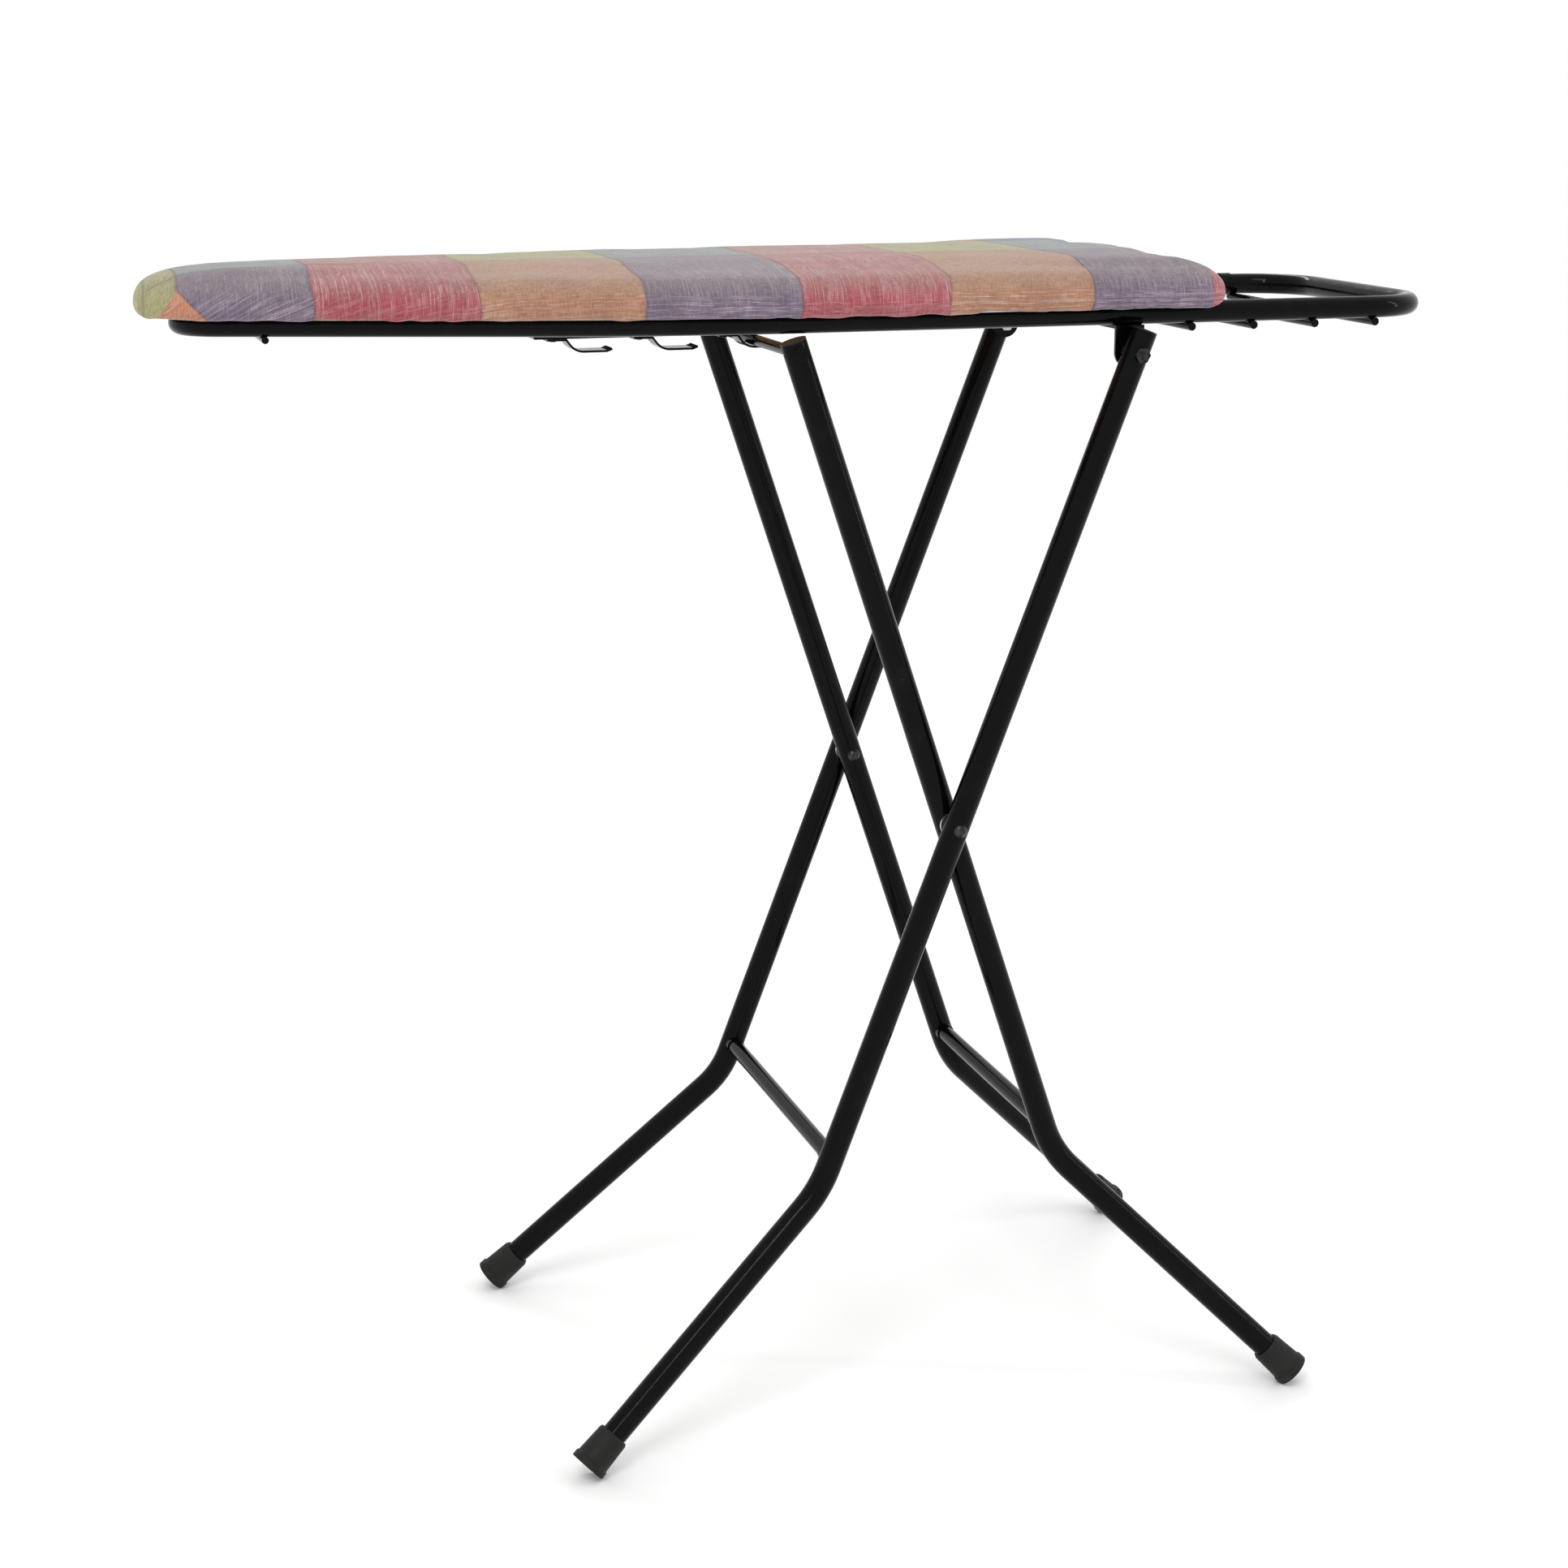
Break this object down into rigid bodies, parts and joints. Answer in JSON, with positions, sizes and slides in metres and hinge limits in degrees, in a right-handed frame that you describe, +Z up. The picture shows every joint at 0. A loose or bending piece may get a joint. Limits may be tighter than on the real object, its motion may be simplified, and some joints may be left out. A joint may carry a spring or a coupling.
{
  "type": "ironing board",
  "caption": "Free-standing ironing board with a padded tapered top, tube frame with iron rest, crossed folding legs, J-shaped height hooks and rubber feet.",
  "frame": {"origin": "on the floor, under the middle of the overall length and width", "axes": "+X along the board from the nose to the iron rest, +Y across it towards the back, +Z up"},
  "size_m": [0.941, 0.389, 0.8595],
  "materials": {
    "cover_fabric": "woven check cotton patchwork",
    "pad_felt": "needled felt",
    "elastic": "flat woven elastic",
    "plywood": "sanded plywood",
    "black_enamel": "gloss black enamel on steel",
    "dark_steel": "black finished steel",
    "zinc": "bright zinc plate",
    "black_rubber": "matte moulded rubber",
    "black_plastic": "moulded plastic"
  },
  "bodies": {
    "board": {"cover": "cover_fabric", "pad": "pad_felt", "hem_elastic": "elastic", "board_panel": "plywood", "nose_tube": "black_enamel", "rest_tube": "black_enamel", "tube_joint_sleeve": "black_enamel", "nose_cross_rod": "black_enamel", "rest_rod_1": "black_enamel", "rest_rod_2": "black_enamel", "rest_rod_3": "black_enamel", "rest_rod_4": "black_enamel", "mounting_tabs": "black_enamel", "tab_screws": "zinc", "pivot_bracket": "black_enamel", "pivot_bolts": "dark_steel", "pivot_nuts": "zinc", "pivot_washers": "zinc", "hook_carrier": "black_enamel", "carrier_screws": "zinc", "height_hook_1": "black_enamel", "height_hook_2": "black_enamel", "height_hook_3": "black_enamel", "hook_rivets": "black_enamel"},
    "outer_legs": {"outer_leg_front": "black_enamel", "outer_leg_back": "black_enamel", "outer_strut": "black_enamel", "outer_leg_plugs": "black_plastic", "crossing_rivets": "dark_steel", "crossing_washers": "zinc", "outer_foot_front": "black_rubber", "outer_foot_back": "black_rubber"},
    "inner_legs": {"inner_leg_front": "black_enamel", "inner_leg_back": "black_enamel", "inner_strut": "black_enamel", "inner_leg_plugs": "black_plastic", "catch_bar": "black_enamel", "inner_foot_front": "black_rubber", "inner_foot_back": "black_rubber"}
  },
  "joints": [
    {"name": "leg_fold", "type": "hinge", "parent": "board", "child": "outer_legs", "pos_m": [0.2175, 0, 0.797], "axis": [0, 1, 0], "range_deg": [0, 60]},
    {"name": "scissor", "type": "hinge", "parent": "outer_legs", "child": "inner_legs", "pos_m": [0.08634, 0, 0.45584], "axis": [0, 1, 0], "range_deg": [-122, 0]}
  ],
  "couplings": [
    {"joint": "scissor", "follows": "leg_fold", "ratio": -2.03}
  ]
}
